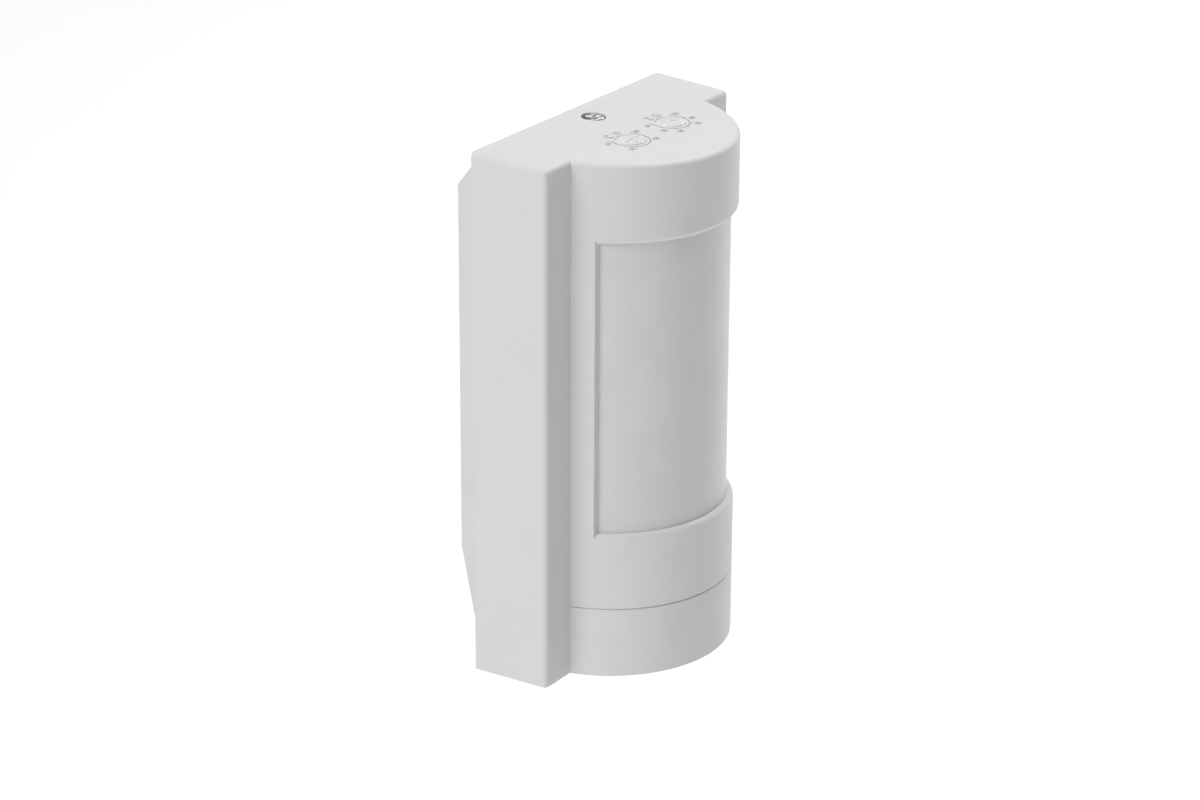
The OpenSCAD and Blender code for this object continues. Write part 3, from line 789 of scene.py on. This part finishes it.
def build_numeral(name, node, text, angle, radius):
    """A numeral by the scale, which reads from the wall side."""
    x, y = DIALS[node].x, DIALS[node].y
    a = math.radians(angle)
    curve = bpy.data.curves.new(name, "FONT")
    curve.body = text
    curve.size = NUMERAL_SIZE
    curve.align_x = "CENTER"
    curve.align_y = "CENTER"
    curve.extrude = NUMERAL_DEPTH
    curve.offset = NUMERAL_BOLD
    curve.resolution_u = 4
    obj = link(name, curve)
    px, py = x + radius * math.cos(a), y + radius * math.sin(a)
    obj.matrix_world = (Matrix.Translation((px, py, top_at(py) - NUMERAL_SINK))
                        @ Matrix.Rotation(math.atan(TOP_TILT), 4, "X") @ Matrix.Rotation(math.pi, 4, "Z"))
    mesh = shaped_mesh(obj)
    mesh.transform(obj.matrix_world)
    bpy.data.objects.remove(obj)
    finish_piece(link(name, mesh), "front_unit", "mark_grey")


# radius of the numerals' middles, and the angle of each
NUMERALS = {
    "lux": (6.2 * MM, {"10": 158, "20": 217, "30": 322, "40": 22}),
    "time": (6.4 * MM, {"10": 158, "20": 200, "30": 235, "50": 305, "60": 340, "70": 22}),
}


def build_controls():
    for node in DIAL_NODES:
        build_dial(node)
    build_lock_screw()
    build_scale("lux_scale", "lux_dial", 4, (add_sun, add_moon))
    build_scale("time_scale", "time_dial", 7, (add_clock, add_hourglass))
    for kind, (radius, angles) in NUMERALS.items():
        for text, angle in angles.items():
            build_numeral(f"{kind}_numeral_{text}", f"{kind}_dial", text, angle, radius)


build_cover()
build_cap()
build_lens()
build_controls()

# ---------------------------------------------------------------- CAD nodes that keep their shape
# widths of their softened edges, in millimetres
EDGE_WIDTHS = {
    "back_plate": 0.4, "rear_cover": 0.3, "terminal_block": 0.25, "cable_grommet": 0.35, "relay": 0.4,
    "film_capacitor": 0.5, "smoothing_capacitor": 0.5, "fuse": 0.5, "choke": 0.25, "varistor": 0.9,
    "lens_frame": 0.2, "unit_seal": 0.2, "main_pcb": 0.1, "pyro_can": 0.15, "pyro_shroud": 0.25,
    "lux_pot": 0.25, "time_pot": 0.25, "clamp_nut": 0.2, "light_sensor": 0.3, "blade_contacts": 0.12,
}
SMALL_EDGE = 0.08
EDGE_ANGLE = 40


def soften(obj, width):
    """Rounds a CAD node's sharp edges and evens its shading, and leaves its mesh as it is."""
    weld = obj.modifiers.new("Join", "WELD")
    weld.merge_threshold = MERGE
    bevel = obj.modifiers.new("Soft edges", "BEVEL")
    bevel.width = width * MM
    bevel.segments = 2
    bevel.limit_method = "ANGLE"
    bevel.angle_limit = math.radians(EDGE_ANGLE)
    even_shading(obj)


def dress_cad_nodes():
    slots = {s["node"]: s["material_slot"] for s in frame["record"]["subparts"]}
    for node, obj in frame["nodes"].items():
        if obj.hide_render:
            continue
        obj.data.materials.clear()
        obj.data.materials.append(MATERIALS[slots[node]])
        soften(obj, EDGE_WIDTHS.get(node, SMALL_EDGE))


dress_cad_nodes()


# ---------------------------------------------------------------- floor, light and camera
FLOOR_HALF = 30
FLOOR_DROP = 0.45
GLOW_FROM, GLOW_TO = 1.5, 8
GLOW_NEAR, GLOW_FAR = 0.08, 0.4
WORLD_LIGHT = 0.06


def build_floor():
    """A white floor well below the object, which glows more with the distance from it."""
    mesh = bpy.data.meshes.new("floor")
    corners = [(u * FLOOR_HALF, v * FLOOR_HALF, BOTTOM - FLOOR_DROP)
               for u, v in ((-1, -1), (1, -1), (1, 1), (-1, 1))]
    mesh.from_pydata(corners, [], [(0, 1, 2, 3)])
    floor = link("floor", mesh)
    material, nodes, links, shader = new_material("floor_white")
    shader.inputs["Base Color"].default_value = (1, 1, 1, 1)
    shader.inputs["Roughness"].default_value = 0.9
    shader.inputs["Specular IOR Level"].default_value = 0
    shader.inputs["Emission Color"].default_value = (1, 1, 1, 1)
    place = nodes.new("ShaderNodeTexCoord")
    away = nodes.new("ShaderNodeVectorMath")
    away.operation = "LENGTH"
    glow = nodes.new("ShaderNodeMapRange")
    glow.inputs["From Min"].default_value = GLOW_FROM
    glow.inputs["From Max"].default_value = GLOW_TO
    glow.inputs["To Min"].default_value = GLOW_NEAR
    glow.inputs["To Max"].default_value = GLOW_FAR
    links.new(place.outputs["Object"], away.inputs[0])
    links.new(away.outputs["Value"], glow.inputs["Value"])
    links.new(glow.outputs["Result"], shader.inputs["Emission Strength"])
    mesh.materials.append(material)


def add_light(name, direction, distance, size, power):
    """A square lamp that faces the object from a direction."""
    lamp = bpy.data.lights.new(name, "AREA")
    lamp.size = size
    lamp.energy = power
    obj = link(name, lamp)
    towards = Vector(direction).normalized()
    obj.location = towards * distance
    obj.rotation_euler = towards.to_track_quat("Z", "Y").to_euler()


def build_lights():
    world = bpy.data.worlds.new("studio")
    world.use_nodes = True
    background = world.node_tree.nodes["Background"]
    background.inputs["Color"].default_value = (1, 1, 1, 1)
    background.inputs["Strength"].default_value = WORLD_LIGHT
    bpy.context.scene.world = world
    add_light("overhead", (0, 0, 1), 6, 5, 222)
    add_light("left", (-1, 0.1, 0.7), 4, 2, 74)
    add_light("right_high", (1, 0.2, 0.8), 4, 2, 42)
    add_light("right_low", (1, -0.25, 0.25), 3, 1.5, 23)


def build_camera():
    """The photo's view: the camera looks at aim from a distance, turned a little about its axis."""
    azimuth = math.radians(-56.252)
    elevation = math.radians(21.752)
    roll = math.radians(0.301)
    distance = 829.9 * MM
    aim = Vector((-13.207, -22.159, -11.260)) * MM
    back = Vector((math.sin(azimuth) * math.cos(elevation), -math.cos(azimuth) * math.cos(elevation),
                   math.sin(elevation)))
    right = Vector((math.cos(azimuth), math.sin(azimuth), 0))
    up = back.cross(right)
    turned_right = right * math.cos(roll) + up * math.sin(roll)
    turned_up = up * math.cos(roll) - right * math.sin(roll)
    data = bpy.data.cameras.new("camera")
    data.sensor_width = 36
    data.lens = 105.66
    data.clip_start = 0.01
    data.clip_end = 100
    camera = link("camera", data)
    turn = Matrix((turned_right, turned_up, back)).transposed()
    camera.matrix_world = Matrix.Translation(aim + back * distance) @ turn.to_4x4()
    bpy.context.scene.camera = camera


build_floor()
build_lights()
build_camera()
bpy.context.scene.view_settings.view_transform = "Standard"
